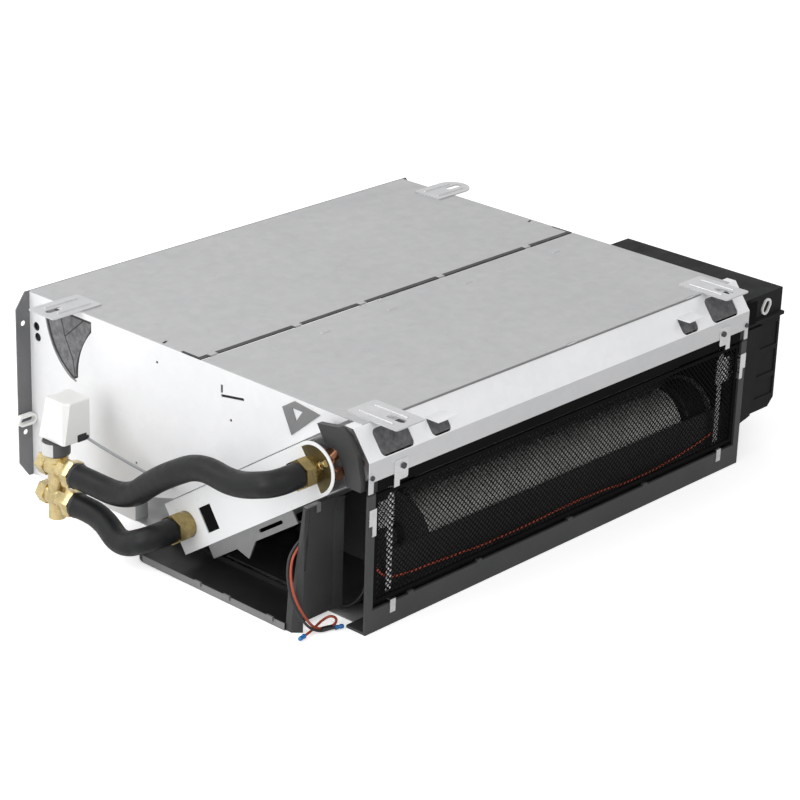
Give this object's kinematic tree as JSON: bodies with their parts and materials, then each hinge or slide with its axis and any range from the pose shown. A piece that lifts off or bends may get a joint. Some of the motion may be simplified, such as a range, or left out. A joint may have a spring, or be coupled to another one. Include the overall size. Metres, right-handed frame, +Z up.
{
  "type": "fan coil unit",
  "caption": "Low horizontal ducted fan coil unit: cross-flow fan behind a draw-out filter, leaning finned coil, rear duct flange, piped valve with actuator and a side control box.",
  "frame": {"origin": "centre of the flat underside of the casing, between its outer left and right faces and between the inlet frame's front and the outlet flange's seat", "axes": "+X along the long side toward the control box, +Y from the air inlet to the outlet flange, +Z up"},
  "size_m": [0.7878, 0.556, 0.2225],
  "materials": {
    "galvanised": "satin",
    "side_sheet": "satin",
    "flange_paint": "satin",
    "felt": "matte",
    "frame_plastic": "matte",
    "black_plastic": "matte",
    "net": "matte",
    "strap_steel": "satin",
    "wheel_plastic": "matte",
    "shaft_steel": "satin",
    "bush_rubber": "matte",
    "motor_paint": "satin",
    "fin_aluminium": "satin",
    "tube_copper": "satin",
    "cover_white": "satin",
    "brass": "satin",
    "tray_plastic": "matte",
    "white_plastic": "satin",
    "ring_plastic": "matte",
    "hose_rubber": "matte",
    "cable_grey": "matte",
    "lead_red": "satin",
    "lead_black": "satin",
    "crimp_blue": "satin"
  },
  "bodies": {
    "casing": {"rear_top_panel": "galvanised", "front_top_panel": "galvanised", "left_side_panel": "side_sheet", "right_side_panel": "side_sheet", "base_panel": "galvanised", "outlet_flange": "flange_paint", "top_felt": "felt", "left_felt": "felt", "right_felt": "felt", "front_crossbar": "side_sheet", "crossbar_felt": "felt", "hanger_front_left": "galvanised", "hanger_front_right": "galvanised", "hanger_rear_left": "galvanised", "hanger_rear_right": "galvanised", "inlet_frame": "frame_plastic", "filter_straps": "strap_steel", "guide_plates": "strap_steel", "shaft_bush": "bush_rubber", "fan_scroll": "black_plastic", "scroll_end_left": "black_plastic", "scroll_end_right": "black_plastic", "fan_tongue": "black_plastic", "fan_motor": "motor_paint", "motor_bracket": "galvanised", "fin_pack": "fin_aluminium", "coil_tubes": "tube_copper", "coil_end_plate_left": "galvanised", "coil_end_plate_right": "galvanised", "coil_cover_left": "cover_white", "coil_headers": "tube_copper", "union_nut_upper": "brass", "union_nut_lower": "brass", "coil_rail": "galvanised", "coil_bracket": "cover_white", "drain_pan": "black_plastic", "side_tray": "tray_plastic", "left_cheek": "frame_plastic", "right_cheek": "frame_plastic", "valve_body": "brass", "valve_ring": "ring_plastic", "actuator_housing": "white_plastic", "hose_upper": "hose_rubber", "hose_lower": "hose_rubber", "actuator_cable": "cable_grey", "inlet_wire": "lead_red", "red_lead": "lead_red", "black_lead": "lead_black", "crimps": "crimp_blue", "electrical_box": "black_plastic", "electrical_cover": "black_plastic", "cable_clip": "white_plastic", "pipe_clip": "white_plastic", "casing_screws": "strap_steel"},
    "fan": {"fan_wheel": "wheel_plastic", "fan_shaft": "shaft_steel"},
    "filter": {"filter_frame": "black_plastic", "filter_mesh": "net"},
    "stem": {"valve_stem": "shaft_steel"},
    "vent": {"air_vent": "brass"}
  },
  "joints": [
    {"name": "fan_spin", "type": "hinge", "parent": "casing", "child": "fan", "pos_m": [0, -0.2025, 0.058], "axis": [1, 0, 0], "continuous": true},
    {"name": "filter_draw", "type": "slide", "parent": "casing", "child": "filter", "axis": [0, -1, 0], "range_m": [0, 0.04]},
    {"name": "valve_stroke", "type": "slide", "parent": "casing", "child": "stem", "axis": [0, 0, -1], "range_m": [0, 0.003]},
    {"name": "vent_turn", "type": "hinge", "parent": "casing", "child": "vent", "pos_m": [-0.3255, -0.21865, 0.17714], "axis": [0, 0, 1], "range_deg": [0, 360]}
  ]
}
